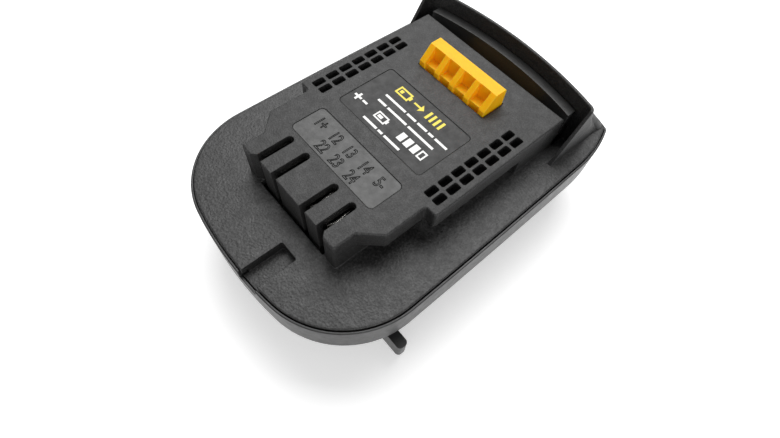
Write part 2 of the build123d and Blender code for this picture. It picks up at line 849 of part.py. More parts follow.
# Release button: a bar behind the deck with a raised strip and a scoop for the thumb
with BuildPart() as release_button:
    button_front_y = tower_y + deck_length + button_gap
    button_side_y = arc_y(button_half, button_back_y, button_arc_radius)
    with BuildSketch(Plane.XY.offset(tongue_top)):
        with BuildLine():
            Line((-button_half, button_front_y), (button_half, button_front_y))
            Line((button_half, button_front_y), (button_half, button_side_y))
            ThreePointArc(
                (button_half, button_side_y), (0, button_back_y), (-button_half, button_side_y)
            )
            Line((-button_half, button_side_y), (-button_half, button_front_y))
        make_face()
    extrude(amount=button_height)
    with BuildSketch(Plane.XY.offset(tongue_top + button_floor)):
        with BuildLine():
            scoop_half = button_half + overrun
            scoop_front = button_front_y - overrun
            scoop_back = button_back_y - button_strip
            scoop_radius = button_arc_radius - button_strip
            scoop_side_y = arc_y(scoop_half, scoop_back, scoop_radius)
            Line((-scoop_half, scoop_front), (scoop_half, scoop_front))
            Line((scoop_half, scoop_front), (scoop_half, scoop_side_y))
            ThreePointArc((scoop_half, scoop_side_y), (0, scoop_back), (-scoop_half, scoop_side_y))
            Line((-scoop_half, scoop_side_y), (-scoop_half, scoop_front))
        make_face()
    extrude(amount=button_height, mode=Mode.SUBTRACT)
    with BuildSketch(Plane.XY.offset(tongue_top)):
        with Locations(*button_screw_places):
            Circle(small_radius + small_fit)
    extrude(amount=button_screw_length - tongue_thickness + small_fit, mode=Mode.SUBTRACT)

release_button.part.label = "release_button"
export_step(release_button.part, "parts/release_button.step")


def biarc(start, start_dir, end, end_dir):
    """Two arcs that leave start along start_dir and reach end along end_dir, tangent where they meet."""
    chord = end - start
    across = start_dir + end_dir
    a = 2 * (1 - start_dir.dot(end_dir))
    b = 2 * chord.dot(across)
    c = -chord.dot(chord)
    reach = (-b + sqrt(b * b - 4 * a * c)) / (2 * a)
    meet = (start + start_dir * reach + end - end_dir * reach) * 0.5
    first = TangentArc(start, meet, tangent=start_dir)
    TangentArc(meet, end, tangent=first % 1)


# Latch springs: one unbroken coil each, from the tray's floor to the carrier's ear
spring_bottom = tray_floor_top + spring_wire / 2
spring_top = carrier_bottom - spring_wire / 2
spring_pitch = (spring_top - spring_bottom) / spring_turns
quarters = 4 * spring_turns
for (place_x, place_y), side_name in zip(spring_places, ("left", "right")):
    with BuildPart() as spring:
        with BuildLine() as coil:
            points = []
            headings = []
            for step in range(quarters + 1):
                turn = step * pi / 2
                points.append(
                    Vector(
                        place_x + spring_radius * cos(turn),
                        place_y + spring_radius * sin(turn),
                        spring_bottom + spring_pitch * step / 4,
                    )
                )
                headings.append(
                    Vector(
                        -spring_radius * sin(turn),
                        spring_radius * cos(turn),
                        spring_pitch / (2 * pi),
                    ).normalized()
                )
            for step in range(quarters):
                biarc(points[step], headings[step], points[step + 1], headings[step + 1])
        with BuildSketch(Plane(origin=points[0], z_dir=headings[0])):
            Circle(spring_wire / 2)
        sweep(path=coil.wires()[0])
    spring.part.label = "latch_spring_" + side_name
    export_step(spring.part, "parts/latch_spring_" + side_name + ".step")
print("least gap between the spring's turns", round(spring_pitch - spring_wire, 3))

# Marking plate and rating label, let into the deck
for name, half, start, end, depth, thickness, radius in (
    (
        "marking_plate",
        marking_half,
        marking_start,
        marking_end,
        marking_recess,
        marking_thickness,
        marking_radius,
    ),
    ("rating_label", label_half, label_start, label_end, label_recess, label_thickness, label_radius),
):
    with BuildPart() as inlay:
        with BuildSketch(Plane.XY.offset(deck_top - depth)):
            with Locations((0, tower_y + (start + end) / 2)):
                RectangleRounded(2 * half, end - start, radius)
        extrude(amount=thickness)
    inlay.part.label = name
    export_step(inlay.part, "parts/" + name + ".step")

# Tool-side contact clips: two sprung leaves that pinch the tool's blade
clip_low = plate_top + clip_bottom
clip_high = plate_top + clip_top
clip_names = [
    "power_clip_positive",
    "signal_clip_left",
    "signal_clip_right",
    "power_clip_negative",
]
for slot_x, name in zip(slot_places, clip_names):
    signal = name.startswith("signal")
    with BuildPart() as clip:
        with BuildSketch(Plane.XY.offset(clip_low)):
            with BuildLine():
                outer = clip_half
                inner = clip_half - clip_sheet
                near = clip_throat + clip_sheet
                web = tower_y + clip_web_y
                bend = tower_y + carrier_start
                throat = tower_y + clip_throat_y
                tip = tower_y + clip_tip_y
                Polyline(
                    (slot_x - outer, web),
                    (slot_x - outer, bend),
                    (slot_x - near, throat),
                    (slot_x - clip_mouth - clip_sheet, tip),
                    (slot_x - clip_mouth, tip),
                    (slot_x - clip_throat, throat),
                    (slot_x - inner, bend),
                    (slot_x - inner, web - clip_sheet),
                    (slot_x + inner, web - clip_sheet),
                    (slot_x + inner, bend),
                    (slot_x + clip_throat, throat),
                    (slot_x + clip_mouth, tip),
                    (slot_x + clip_mouth + clip_sheet, tip),
                    (slot_x + near, throat),
                    (slot_x + outer, bend),
                    (slot_x + outer, web),
                    close=True,
                )
            make_face()
        extrude(amount=clip_high - clip_low)
        # Solder tail, which on a signal clip turns down through the board
        with BuildSketch(Plane.XY.offset(clip_low)):
            with Locations((slot_x, tower_y + clip_web_y)):
                Rectangle(tail_width, tail_end - clip_web_y, align=(Align.CENTER, Align.MIN))
        extrude(amount=tail_height)
        if signal:
            with BuildSketch(Plane.XY.offset(board_bottom - solder_rise)):
                with Locations((slot_x, tower_y + tail_end)):
                    Rectangle(tail_width, leg_length, align=(Align.CENTER, Align.MAX))
            extrude(amount=clip_low - board_bottom + solder_rise)
    clip.part.label = name
    export_step(clip.part, "parts/" + name + ".step")

# Block that holds the four clips
with BuildPart() as contact_carrier:
    with BuildSketch(Plane.XY.offset(tray_floor_top)):
        with Locations((0, tower_y + carrier_start)):
            Rectangle(
                2 * (tower_half - wall - inlay_gap),
                carrier_depth,
                align=(Align.CENTER, Align.MIN),
            )
    extrude(amount=deck_under - stop_gap - tray_floor_top)
    with BuildSketch(Plane.XY.offset(clip_low - clip_fit)):
        for slot_x in slot_places:
            with Locations((slot_x, tower_y + carrier_start)):
                Rectangle(
                    2 * (clip_half + clip_fit),
                    clip_web_y - carrier_start + clip_fit,
                    align=(Align.CENTER, Align.MIN),
                )
            with Locations((slot_x, tower_y + clip_web_y)):
                Rectangle(
                    tail_width + 2 * clip_fit, carrier_depth, align=(Align.CENTER, Align.MIN)
                )
    extrude(amount=clip_high - clip_low + 2 * clip_fit, mode=Mode.SUBTRACT)

contact_carrier.part.label = "contact_carrier"
export_step(contact_carrier.part, "parts/contact_carrier.step")

# Battery-side blades: a flat blade that points forward, with a tail up into the body
blade_names = [
    "power_blade_positive",
    "signal_blade_left",
    "signal_blade_right",
    "power_blade_negative",
]
power_tail_top = board_top - solder_rise
signal_tail_top = board_top + solder_rise
for blade_x, name in zip(blade_places, blade_names):
    tail_top = signal_tail_top if name.startswith("signal") else power_tail_top
    with BuildPart() as blade:
        with BuildSketch(Plane.YZ.offset(blade_x)):
            with BuildLine():
                Polyline(
                    (tower_y + blade_tip, blade_low + blade_nose),
                    (tower_y + blade_tip + blade_nose, blade_low),
                    (tower_y + blade_back, blade_low),
                    (tower_y + blade_back, tail_top),
                    (tower_y + blade_back - blade_tail, tail_top),
                    (tower_y + blade_back - blade_tail, blade_high),
                    (tower_y + blade_tip + blade_nose, blade_high),
                    (tower_y + blade_tip, blade_high - blade_nose),
                    close=True,
                )
            make_face()
        extrude(amount=blade_sheet / 2, both=True)
    blade.part.label = name
    export_step(blade.part, "parts/" + name + ".step")

# Block that holds the blades under the socket's ceiling
with BuildPart() as blade_block:
    with BuildSketch(Plane.XY.offset(block_low)) as block_plan:
        with Locations((0, tower_y + block_start)):
            Rectangle(2 * block_half, block_end - block_start, align=(Align.CENTER, Align.MIN))
        fillet(block_plan.vertices(), block_radius)
    extrude(amount=foot_height - block_low)
    for blade_x in blade_places:
        with BuildSketch(Plane.XY.offset(blade_low - blade_fit)):
            with Locations((blade_x, tower_y + blade_back + blade_fit)):
                Rectangle(
                    blade_sheet + 2 * blade_fit,
                    blade_back - block_start + overrun,
                    align=(Align.CENTER, Align.MAX),
                )
        extrude(amount=blade_high - blade_low + 2 * blade_fit, mode=Mode.SUBTRACT)
        with BuildSketch(Plane.XY.offset(blade_high)):
            with Locations((blade_x, tower_y + blade_back - blade_tail / 2)):
                Rectangle(blade_sheet + 2 * blade_fit, blade_tail + 2 * blade_fit)
        extrude(amount=foot_height - blade_high, mode=Mode.SUBTRACT)
    with BuildSketch(Plane.XY.offset(foot_height)):
        with Locations(*block_screw_places):
            Circle(small_radius + small_fit)
    extrude(amount=-(block_screw_length - tray_floor + small_fit), mode=Mode.SUBTRACT)

blade_block.part.label = "blade_block"
export_step(blade_block.part, "parts/blade_block.step")

# Circuit board, screwed to its posts, with holes for legs, tails and screws
with BuildPart() as circuit_board:
    with BuildSketch(Plane.XY.offset(board_bottom)):
        with Locations((0, tower_y + board_start)):
            Rectangle(2 * board_half, board_end - board_start, align=(Align.CENTER, Align.MIN))
        with Locations(*post_places):
            Circle(small_radius + small_clear, mode=Mode.SUBTRACT)
        for slot_x in (-inner_slot_x, inner_slot_x):
            with Locations((slot_x, tower_y + tail_end - leg_length / 2)):
                Rectangle(
                    tail_width + 2 * hole_gap, leg_length + 2 * hole_gap, mode=Mode.SUBTRACT
                )
        for blade_x in (-blade_signal_x, blade_signal_x):
            with Locations((blade_x, tower_y + blade_back - blade_tail / 2)):
                Rectangle(
                    blade_sheet + 2 * hole_gap, blade_tail + 2 * hole_gap, mode=Mode.SUBTRACT
                )
    extrude(amount=board_thickness)

circuit_board.part.label = "circuit_board"
export_step(circuit_board.part, "parts/circuit_board.step")

# Controller chip with its row of pins on each side
with BuildPart() as controller_chip:
    with BuildSketch(Plane.XY.offset(board_top)):
        with Locations((0, tower_y + chip_y)):
            Rectangle(chip_width, chip_length)
    extrude(amount=chip_height)
    with BuildSketch(Plane.XY.offset(board_top)):
        for pin in range(chip_pins):
            pin_y = tower_y + chip_y + (pin - (chip_pins - 1) / 2) * chip_pitch
            with Locations((0, pin_y)):
                Rectangle(chip_width + 2 * chip_pin_reach, chip_pin)
    extrude(amount=chip_pin)

controller_chip.part.label = "controller_chip"
export_step(controller_chip.part, "parts/controller_chip.step")

# Capacitor: a can on a square base with a rolled groove
with BuildPart() as capacitor:
    with BuildSketch(Plane.XY.offset(board_top)):
        with Locations((can_x, tower_y + can_y)):
            Rectangle(can_base, can_base)
    extrude(amount=can_base_height)
    with BuildSketch(Plane.XY.offset(board_top + can_base_height)):
        with Locations((can_x, tower_y + can_y)):
            Circle(can_radius)
    extrude(amount=can_height - can_base_height)
    with BuildSketch(Plane.XY.offset(board_top + 2 * can_base_height)):
        with Locations((can_x, tower_y + can_y)):
            Circle(can_radius + can_groove)
            Circle(can_radius - can_groove, mode=Mode.SUBTRACT)
    extrude(amount=can_groove, mode=Mode.SUBTRACT)

capacitor.part.label = "capacitor"
export_step(capacitor.part, "parts/capacitor.step")

# Power transistor: a moulded body on a metal tab
with BuildPart() as power_transistor:
    with BuildSketch(Plane.XY.offset(board_top)):
        with Locations((fet_x, tower_y + fet_y)):
            Rectangle(fet_width, fet_length)
    extrude(amount=fet_height)
    with BuildSketch(Plane.XY.offset(board_top)):
        with Locations((fet_x, tower_y + fet_y + fet_length / 2)):
            Rectangle(fet_width - fet_tab, 2 * fet_tab)
    extrude(amount=fet_tab_height)

power_transistor.part.label = "power_transistor"
export_step(power_transistor.part, "parts/power_transistor.step")

# A row of chip resistors, each with raised end caps
with BuildPart() as resistors:
    for count in range(resistor_count):
        resistor_place = (resistor_x, tower_y + resistor_y + count * resistor_pitch)
        with BuildSketch(Plane.XY.offset(board_top)):
            with Locations(resistor_place):
                Rectangle(resistor_length, resistor_width)
        extrude(amount=resistor_height - resistor_cap / 4)
        with BuildSketch(Plane.XY.offset(board_top)):
            with Locations(resistor_place):
                Rectangle(resistor_length, resistor_width)
                Rectangle(resistor_length - 2 * resistor_cap, resistor_width, mode=Mode.SUBTRACT)
        extrude(amount=resistor_height)

resistors.part.label = "resistors"
export_step(resistors.part, "parts/resistors.step")

# Power wires, from each power clip's tail to the blade's tail on the same side
wire_clip_z = clip_low + tail_height / 2
wire_blade_z = tray_floor_top + board_rise - wire_radius
for side_sign, name in ((-1, "power_wire_positive"), (1, "power_wire_negative")):
    heights = [wire_clip_z - drop for drop in wire_drop] + [wire_blade_z]
    wire_end = blade_back - blade_tail
    route = [Vector(side_sign * outer_slot_x, tower_y + tail_end, wire_clip_z)]
    for run_x, run_share, height in zip(wire_run_x, wire_run_shares, heights):
        run_y = tail_end + (wire_end - tail_end) * run_share
        route.append(Vector(side_sign * run_x, tower_y + run_y, height))
    route.append(Vector(side_sign * blade_power_x, tower_y + wire_end, wire_blade_z))
    radii = []
    for before, here, after in zip(route, route[1:], route[2:]):
        turn = radians((here - before).get_angle(after - here))
        radii.append(wire_arc_share * min((here - before).length, (after - here).length) / tan(turn / 2))
    print(name, "arc radii", [round(value, 1) for value in radii])
    with BuildPart() as wire:
        with BuildLine() as wire_path:
            FilletPolyline(*route, radius=radii)
        with BuildSketch(Plane(origin=route[0], z_dir=route[1] - route[0])):
            Circle(wire_radius)
        sweep(path=wire_path.wires()[0])
    wire.part.label = name
    export_step(wire.part, "parts/" + name + ".step")

# Screws that hold the shells together, driven from below
with BuildPart() as housing_screws:
    with BuildSketch(Plane.XY.offset(foot_height + screw_head_clear)):
        with Locations(*screw_places):
            Circle(screw_head_radius)
    extrude(amount=screw_head_height)
    with BuildSketch(Plane.XY.offset(screw_seat)):
        with Locations(*screw_places):
            Circle(screw_radius)
    extrude(amount=screw_tip - screw_seat)
    with BuildSketch(Plane.XY.offset(foot_height + screw_head_clear)):
        with Locations(*screw_places):
            RegularPolygon(drive_radius, 6)
    extrude(amount=drive_depth, mode=Mode.SUBTRACT)

housing_screws.part.label = "housing_screws"
export_step(housing_screws.part, "parts/housing_screws.step")

# Small screws: those of the board and the block point down, those of the button point up
for name, places, head_level, length, way in (
    ("board_screws", post_places, board_top, board_screw_length, -1),
    ("block_screws", block_screw_places, tray_floor_top, block_screw_length, -1),
    ("button_screws", button_screw_places, tongue_bottom, button_screw_length, 1),
):
    with BuildPart() as small_screws:
        with BuildSketch(Plane.XY.offset(head_level)):
            with Locations(*places):
                Circle(small_head_radius)
        extrude(amount=-way * small_head_height)
        with BuildSketch(Plane.XY.offset(head_level)):
            with Locations(*places):
                Circle(small_radius)
        extrude(amount=way * length)
        with BuildSketch(Plane.XY.offset(head_level - way * small_head_height)):
            with Locations(*places):
                RegularPolygon(small_radius, 6)
        extrude(amount=way * small_head_height / 2, mode=Mode.SUBTRACT)
    small_screws.part.label = name
    export_step(small_screws.part, "parts/" + name + ".step")
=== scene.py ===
import json
import math

import bmesh
import bpy
from mathutils import Matrix, Vector


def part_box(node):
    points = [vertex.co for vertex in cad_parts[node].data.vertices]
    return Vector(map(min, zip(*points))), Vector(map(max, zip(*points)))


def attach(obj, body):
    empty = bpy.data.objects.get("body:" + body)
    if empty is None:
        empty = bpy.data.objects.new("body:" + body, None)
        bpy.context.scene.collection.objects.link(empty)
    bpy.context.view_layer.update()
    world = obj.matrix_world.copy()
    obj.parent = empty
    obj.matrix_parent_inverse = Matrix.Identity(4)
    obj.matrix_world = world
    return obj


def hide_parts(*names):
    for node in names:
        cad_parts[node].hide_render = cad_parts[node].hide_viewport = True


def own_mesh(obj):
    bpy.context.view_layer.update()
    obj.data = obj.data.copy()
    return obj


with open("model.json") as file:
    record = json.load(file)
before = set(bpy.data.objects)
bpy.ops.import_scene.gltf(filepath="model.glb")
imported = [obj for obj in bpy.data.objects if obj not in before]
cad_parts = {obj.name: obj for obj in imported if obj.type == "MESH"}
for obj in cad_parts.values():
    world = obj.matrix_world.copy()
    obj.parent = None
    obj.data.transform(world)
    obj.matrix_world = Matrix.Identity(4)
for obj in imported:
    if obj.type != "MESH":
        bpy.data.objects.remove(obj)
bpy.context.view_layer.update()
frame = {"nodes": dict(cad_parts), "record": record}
MM = 0.001

# Places of the part, taken from the frame: the tower's front face, the deck and the plate under it
CARRIER_START = 12.8 * MM
MARKING_SINK = 0.1 * MM
DECK_HEIGHT = 11.0 * MM
TOWER_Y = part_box("contact_carrier")[0].y - CARRIER_START
DECK_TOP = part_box("marking_plate")[1].z + MARKING_SINK
PLATE_TOP = DECK_TOP - DECK_HEIGHT

# The upper shell's texture turns from coarse to fine between these heights over the plate
COARSE_END = 0.3 * MM
FINE_START = 1.2 * MM

# Ink stands this far out of the label, and reaches this far into it
INK_HEIGHT = 0.03 * MM
INK_SINK = 0.01 * MM

# Half the height of the rules that stand for lines of print
RULE_HALF = 0.36

# Raised numbers: their size, how narrow they are, and the thin tube that outlines them
DIGIT_SIZE = 4.7 * MM
DIGIT_NARROWING = 0.74
OUTLINE_RADIUS = 0.13 * MM
OUTLINE_SINK = 0.02 * MM

# Rows of the raised numbers, in millimetres from the middle of their plate
UPPER_ROW_Y = 1.45
LOWER_ROW_Y = -2.95

# Plain light and a pale floor; the lamps face a point a little over the floor
WORLD_STRENGTH = 0.36
FLOOR_GLOW = 0.35
FLOOR_HALF = 1.5
LIGHT_TARGET = (0, 0, 30 * MM)

# The camera stands where the photograph was taken from
PHOTO_WIDTH = 780
FOCAL_PIXELS = 467.05
CAMERA_PLACE = (57.740 * MM, TOWER_Y - 23.126 * MM, PLATE_TOP + 105.588 * MM)
CAMERA_AZIMUTH = math.radians(43.97)
CAMERA_ELEVATION = math.radians(60.67)
CAMERA_ROLL = math.radians(6.24)
SENSOR_WIDTH = 36.0
NEAREST = 1 * MM
FARTHEST = 20.0

# Colours, linear
BLACK_PLASTIC = (0.005, 0.005, 0.0049, 1)
TRAY_BLACK = (0.015, 0.0151, 0.0154, 1)
BUTTON_BLACK = (0.02, 0.02, 0.0196, 1)
INLAY_GREY = (0.011, 0.0112, 0.0104, 1)
LABEL_GREY = (0.004, 0.004, 0.0039, 1)
CATCH_YELLOW = (1.0, 0.5, 0.004, 1)
PRINT_WHITE = (0.86, 0.86, 0.84, 1)
PRINT_YELLOW = (0.82, 0.68, 0.05, 1)
BLOCK_BLACK = (0.018, 0.018, 0.019, 1)
NICKEL = (0.74, 0.72, 0.68, 1)
STEEL = (0.52, 0.52, 0.53, 1)
BOARD_GREEN = (0.012, 0.11, 0.045, 1)
CHIP_BLACK = (0.015, 0.015, 0.016, 1)
ALUMINIUM = (0.78, 0.78, 0.79, 1)
WIRE_RED = (0.42, 0.012, 0.01, 1)
WIRE_BLACK = (0.012, 0.012, 0.012, 1)
FLOOR_WHITE = (0.9, 0.9, 0.9, 1)


def node(tree, kind, inputs=None, **settings):
    """Adds a shader node; each input is given another node's socket or a plain value."""
    made = tree.nodes.new("ShaderNode" + kind)
    for key, value in settings.items():
        setattr(made, key, value)
    for key, value in (inputs or {}).items():
        if isinstance(value, bpy.types.NodeSocket):
            tree.links.new(value, made.inputs[key])
        else:
            made.inputs[key].default_value = value
    return made


def maths(tree, operation, first, second, clamp=False):
    """A sum, product or the like of two sockets or numbers."""
    made = node(tree, "Math", {0: first, 1: second}, operation=operation, use_clamp=clamp)
    return made.outputs[0]


def blend(tree, factor, first, second):
    """Mixes two colours; in colour mode the mix node takes them at sockets 6 and 7."""
    made = node(tree, "Mix", data_type="RGBA")
    for index, value in ((0, factor), (6, first), (7, second)):
        if isinstance(value, bpy.types.NodeSocket):
            tree.links.new(value, made.inputs[index])
        else:
            made.inputs[index].default_value = value
    return made.outputs[2]


def scaled(tree, colour, shade):
    """A colour made lighter or darker by a factor."""
    return node(tree, "VectorMath", {0: colour[:3], "Scale": shade}, operation="SCALE").outputs[0]


def mix_numbers(tree, factor, first, second):
    """Mixes two numbers, which the mix node takes at sockets 2 and 3."""
    return node(tree, "Mix", {0: factor, 2: first, 3: second}).outputs[0]


def noise(tree, coords, size, detail=3.0, roughness=0.55):
    """Cloudy noise whose blots are about the given size in metres."""
    made = node(
        tree,
        "TexNoise",
        {"Vector": coords, "Scale": 1 / size, "Detail": detail, "Roughness": roughness},
    )
    return made.outputs["Fac"]


def cells(tree, coords, size):
    """Rounded cells of the given size in metres, dark in their middles."""
    made = node(tree, "TexVoronoi", {"Vector": coords, "Scale": 1 / size}, feature="SMOOTH_F1")
    return made.outputs["Distance"]


def spread(tree, value, low, high, new_low=0.0, new_high=1.0):
    """Stretches the range low to high of a value over a new range."""
    made = node(
        tree,
        "MapRange",
        {"Value": value, "From Min": low, "From Max": high, "To Min": new_low, "To Max": new_high},
    )
    return made.outputs["Result"]


def vary(tree, cloudy, new_low=0.0, new_high=1.0):
    """Stretches noise, most of which lies between 0.3 and 0.7, over a new range."""
    return spread(tree, cloudy, 0.3, 0.7, new_low, new_high)


def add_grey(tree, colour, amount):
    """Adds the same amount to all three channels of a colour."""
    return node(tree, "VectorMath", {0: colour, 1: amount}, operation="ADD").outputs[0]


def start_material(name):
    """An empty node material and its tree."""
    material = bpy.data.materials.new(name)
    material.use_nodes = True
    material.node_tree.nodes.clear()
    return material, material.node_tree


def finish_material(tree, shader_inputs, **plain):
    """Closes a material with one Principled shader; plain values sit on its own sockets."""
    shader = node(tree, "BsdfPrincipled", shader_inputs)
    for key, value in plain.items():
        shader.inputs[key.replace("_", " ")].default_value = value
    node(tree, "OutputMaterial", {"Surface": shader.outputs[0]})


def edges(tree, radius):
    """Normal with rounded edges, and a mask that is 1 along those edges."""
    rounded = node(tree, "Bevel", {"Radius": radius}, samples=6).outputs["Normal"]
    flat = node(tree, "NewGeometry").outputs["Normal"]
    dot = node(tree, "VectorMath", {0: rounded, 1: flat}, operation="DOT_PRODUCT")
    return rounded, spread(tree, dot.outputs["Value"], 0.995, 0.8)


def moulded_plastic(name, colour, roughness, grain, depth, speckle=0.25):
    """Moulded plastic with an eroded grain, faint blotches, and edges painted a little lighter: a
    painted highlight along with rubbed wear.
    """
    edge_radius = 0.3 * MM
    edge_light = 0.03
    material, tree = start_material(name)
    coords = node(tree, "TexCoord").outputs["Object"]
    fine = noise(tree, coords, grain, 2.0, 0.6)
    pits = cells(tree, coords, 1.6 * grain)
    cloud = noise(tree, coords, 9 * MM, 3.0)
    smear = noise(tree, coords, 2.2 * MM, 4.0, 0.65)
    rounded, highlit_and_rubbed = edges(tree, edge_radius)
    shade = vary(tree, fine, 1 - speckle, 1 + speckle)
    shade = maths(tree, "MULTIPLY", shade, vary(tree, cloud, 0.92, 1.1))
    # Edges painted lighter: a painted highlight along the rounded edges, together with rubbed wear
    highlight_and_wear = maths(tree, "MULTIPLY", highlit_and_rubbed, spread(tree, smear, 0.35, 0.65, 0.3, 1.0))
    tint = add_grey(tree, scaled(tree, colour, shade), maths(tree, "MULTIPLY", highlight_and_wear, edge_light))
    rough = vary(tree, smear, roughness - 0.06, roughness + 0.07)
    rough = maths(tree, "SUBTRACT", rough, maths(tree, "MULTIPLY", highlight_and_wear, 0.1), clamp=True)
    height = maths(tree, "ADD", fine, maths(tree, "MULTIPLY", pits, 0.7))
    bump = node(tree, "Bump", {"Height": height, "Strength": 0.6, "Distance": depth, "Normal": rounded})
    finish_material(
        tree,
        {"Base Color": tint, "Roughness": rough, "Normal": bump.outputs[0]},
        Specular_IOR_Level=0.5,
    )
    return material


def upper_plastic(name, colour):
    """The upper shell: a coarse spark texture on the plate, a finer one on deck and tower; its glints
    are painted as light specks, and its edges carry a painted highlight with rubbed wear.
    """
    material, tree = start_material(name)
    coords = node(tree, "TexCoord").outputs["Object"]
    height_axis = node(tree, "SeparateXYZ", {0: coords}).outputs["Z"]
    on_plate = spread(tree, height_axis, PLATE_TOP + FINE_START, PLATE_TOP + COARSE_END)
    fine = noise(tree, coords, 0.38 * MM, 2.0, 0.6)
    coarse = noise(tree, coords, 0.46 * MM, 3.0, 0.6)
    dots = cells(tree, coords, 0.62 * MM)
    cloud = noise(tree, coords, 11 * MM, 3.0)
    smear = noise(tree, coords, 2.5 * MM, 4.0, 0.65)
    rounded, highlit_and_rubbed = edges(tree, 0.35 * MM)
    # Light specks painted into the colour: painted glints of the spark texture, coarse on the plate,
    # fine on deck and tower
    glint_speck_fine = spread(tree, fine, 0.42, 0.72, 0.0, 0.026)
    glint_speck_coarse = spread(tree, coarse, 0.42, 0.7, 0.0, 0.032)
    glint_speck = mix_numbers(tree, on_plate, glint_speck_fine, glint_speck_coarse)
    # Edges painted lighter: a painted highlight along the rounded edges, together with rubbed wear
    highlight_and_wear = maths(tree, "MULTIPLY", highlit_and_rubbed, spread(tree, smear, 0.35, 0.65, 0.25, 1.0))
    light = maths(tree, "ADD", glint_speck, maths(tree, "MULTIPLY", highlight_and_wear, 0.05))
    shade = vary(tree, cloud, 0.85, 1.15)
    tint = add_grey(tree, scaled(tree, colour, shade), light)
    rough = vary(tree, smear, 0.5, 0.62)
    rough = maths(tree, "SUBTRACT", rough, maths(tree, "MULTIPLY", on_plate, 0.09))
    rough = maths(tree, "SUBTRACT", rough, maths(tree, "MULTIPLY", highlight_and_wear, 0.1), clamp=True)
    relief_fine = maths(tree, "MULTIPLY", fine, 1.3)
    relief_coarse = maths(tree, "ADD", coarse, dots)
    relief = mix_numbers(tree, on_plate, relief_fine, relief_coarse)
    bump = node(
        tree,
        "Bump",
        {"Height": relief, "Strength": 0.9, "Distance": 0.08 * MM, "Normal": rounded},
    )
    finish_material(
        tree,
        {"Base Color": tint, "Roughness": rough, "Normal": bump.outputs[0]},
        Specular_IOR_Level=0.5,
    )
    return material


def catch_plastic(name, colour):
    """Bright, slightly translucent nylon with a satin face."""
    material, tree = start_material(name)
    coords = node(tree, "TexCoord").outputs["Object"]
    cloud = noise(tree, coords, 4 * MM, 3.0)
    fine = noise(tree, coords, 0.3 * MM, 2.0)
    rounded, highlit_and_rubbed = edges(tree, 0.3 * MM)
    warm = tuple(channel * share for channel, share in zip(colour, (1.0, 0.92, 0.8, 1.0)))
    base = blend(tree, vary(tree, cloud), colour, warm)
    # Edges painted a lighter orange: a painted highlight along the rounded edges, together with rubbed
    # wear
    base = blend(tree, maths(tree, "MULTIPLY", highlit_and_rubbed, 0.35), base, (1.0, 0.66, 0.12, 1))
    rough = vary(tree, fine, 0.42, 0.52)
    bump = node(
        tree, "Bump", {"Height": fine, "Strength": 0.35, "Distance": 0.02 * MM, "Normal": rounded}
    )
    finish_material(
        tree,
        {"Base Color": base, "Roughness": rough, "Normal": bump.outputs[0]},
        Subsurface_Weight=0.5,
        Subsurface_Radius=(1.0, 0.35, 0.05),
        Subsurface_Scale=3.0 * MM,
        Specular_IOR_Level=0.2,
    )
    return material


def metal(name, colour, roughness, brushed):
    """Plated or drawn metal with fine streaks and dull patches."""
    material, tree = start_material(name)
    coords = node(tree, "TexCoord").outputs["Object"]
    stretched = node(tree, "Mapping", {"Vector": coords, "Scale": (1.0, 0.12, 1.0)}).outputs[0]
    streaks = noise(tree, stretched, 0.15 * MM, 3.0, 0.7)
    patches = noise(tree, coords, 3 * MM, 3.0)
    rounded, highlit_and_rubbed = edges(tree, 0.12 * MM)
    shade = vary(tree, patches, 0.82, 1.05)
    # Edges painted lighter: a painted highlight along the rounded edges, together with rubbed wear
    shade = maths(tree, "ADD", shade, maths(tree, "MULTIPLY", highlit_and_rubbed, 0.1))
    tint = scaled(tree, colour, shade)
    rough = vary(tree, patches, roughness - 0.06, roughness + 0.1)
    bump = node(
        tree,
        "Bump",
        {"Height": streaks, "Strength": 0.25 + brushed, "Distance": 0.01 * MM, "Normal": rounded},
    )
    finish_material(
        tree,
        {"Base Color": tint, "Roughness": rough, "Normal": bump.outputs[0]},
        Metallic=1.0,
    )
    return material


def board_laminate(name, colour):
    """Solder mask over faint copper tracks and the weave of the board."""
    material, tree = start_material(name)
    coords = node(tree, "TexCoord").outputs["Object"]
    weave = node(tree, "TexWave", {"Vector": coords, "Scale": 260.0, "Distortion": 1.5})
    tracks = node(tree, "TexBrick", {"Vector": coords, "Scale": 160.0, "Mortar Size": 0.03})
    light = tuple(channel * 1.7 for channel in colour[:3]) + (1,)
    base = blend(tree, tracks.outputs["Fac"], light, colour)
    base = blend(tree, maths(tree, "MULTIPLY", weave.outputs["Fac"], 0.15), base, light)
    height = maths(tree, "ADD", tracks.outputs["Fac"], weave.outputs["Fac"])
    bump = node(tree, "Bump", {"Height": height, "Strength": 0.3, "Distance": 0.03 * MM})
    finish_material(tree, {"Base Color": base, "Normal": bump.outputs[0]}, Roughness=0.3)
    return material


def printed(name, colour):
    """Screen-printed ink: flat, a little uneven at the edges of its dots."""
    material, tree = start_material(name)
    coords = node(tree, "TexCoord").outputs["Object"]
    dots = noise(tree, coords, 0.12 * MM, 2.0)
    shade = vary(tree, dots, 0.85, 1.05)
    tint = scaled(tree, colour, shade)
    bump = node(tree, "Bump", {"Height": dots, "Strength": 0.2, "Distance": 0.01 * MM})
    finish_material(tree, {"Base Color": tint, "Normal": bump.outputs[0]}, Roughness=0.5)
    return material


def painted_shade_outline(name, colour):
    """Thin raised outlines on the marking plate, in a dull, weakly reflecting black: painted shade
    standing in for the shaded sides of raised strokes.
    """
    material, tree = start_material(name)
    coords = node(tree, "TexCoord").outputs["Object"]
    fine = noise(tree, coords, 0.2 * MM, 2.0)
    shade = vary(tree, fine, 0.5, 1.6)
    tint = scaled(tree, colour, shade)
    bump = node(tree, "Bump", {"Height": fine, "Strength": 0.5, "Distance": 0.02 * MM})
    finish_material(
        tree,
        {"Base Color": tint, "Normal": bump.outputs[0]},
        Roughness=0.85,
        Specular_IOR_Level=0.15,
    )
    return material


